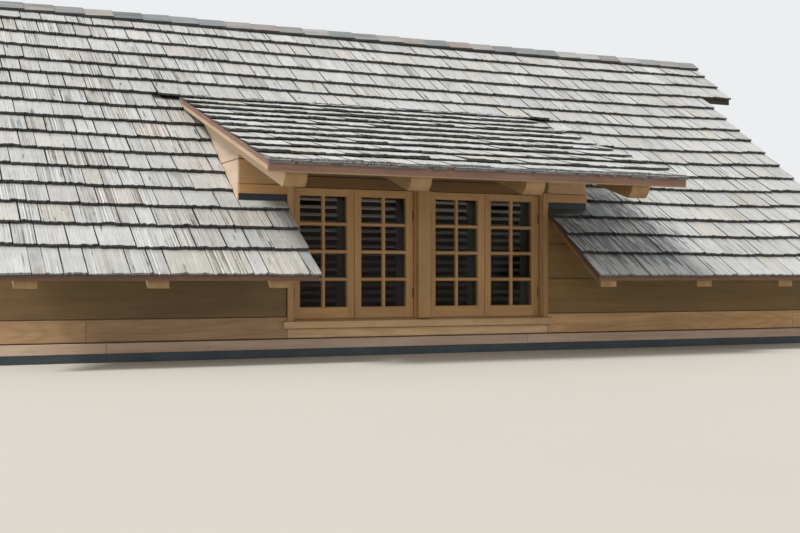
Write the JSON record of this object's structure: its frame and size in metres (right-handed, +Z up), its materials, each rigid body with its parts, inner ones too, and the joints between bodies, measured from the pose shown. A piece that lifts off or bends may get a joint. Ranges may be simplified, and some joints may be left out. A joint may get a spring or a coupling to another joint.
{
  "type": "wall dormer window",
  "caption": "Wall dormer with casement windows and a low shed roof, set in the eaves of a steeper wood shake roof bay with board walls.",
  "frame": {"origin": "underside of the bay, below the middle of the window, in the plane of the front wall's outer face", "axes": "+Z up, +X along the wall to the right as seen from outside, +Y into the building"},
  "size_m": [7.68, 3.8913, 2.9888],
  "materials": {
    "painted_wood": "ochre tan paint, matt, weathered",
    "fascia_wood": "mauve brown paint, matt",
    "wood_shakes": "bare, weathered silver grey with some tan ones",
    "roof_boards": "brown stain, matt",
    "raw_timber": "sawn",
    "floor_boards": "planed",
    "window_glass": "clear, with a dark room behind it",
    "dark_flashing": "slate blue, dull",
    "lead_apron": "light grey, dull",
    "hinge_metal": "painted over in brown"
  },
  "bodies": {
    "root": {"floor": "floor_boards", "back_wall": "painted_wood", "end_wall_left": "painted_wood", "end_wall_right": "painted_wood", "front_wall_left": "painted_wood", "front_wall_right": "painted_wood", "wall_below_window": "painted_wood", "dormer_wall_left": "painted_wood", "dormer_wall_right": "painted_wood", "wall_over_window": "painted_wood", "cheek_left": "painted_wood", "cheek_right": "painted_wood", "base_trim": "painted_wood", "base_flashing": "dark_flashing", "wing_trim": "painted_wood", "apron_flashing": "lead_apron", "window_jambs": "painted_wood", "head_jamb": "painted_wood", "mullion": "painted_wood", "window_sill": "painted_wood", "side_casings": "painted_wood", "head_casing": "painted_wood", "sashes": "painted_wood", "glass": "window_glass", "hinges": "hinge_metal", "dormer_rafters": "painted_wood", "dormer_deck": "roof_boards", "dormer_shakes": "wood_shakes", "dormer_fascia": "fascia_wood", "dormer_rakes": "fascia_wood", "head_beam": "raw_timber", "main_deck_left": "roof_boards", "main_deck_right": "roof_boards", "main_deck_top": "roof_boards", "eave_decks": "roof_boards", "main_shakes_left": "wood_shakes", "main_shakes_right": "wood_shakes", "main_shakes_top": "wood_shakes", "eave_shakes": "wood_shakes", "main_rafters": "painted_wood", "main_fascias": "fascia_wood", "main_rakes": "fascia_wood", "ridge_beam": "raw_timber", "ridge_cap": "wood_shakes"}
  },
  "joints": []
}
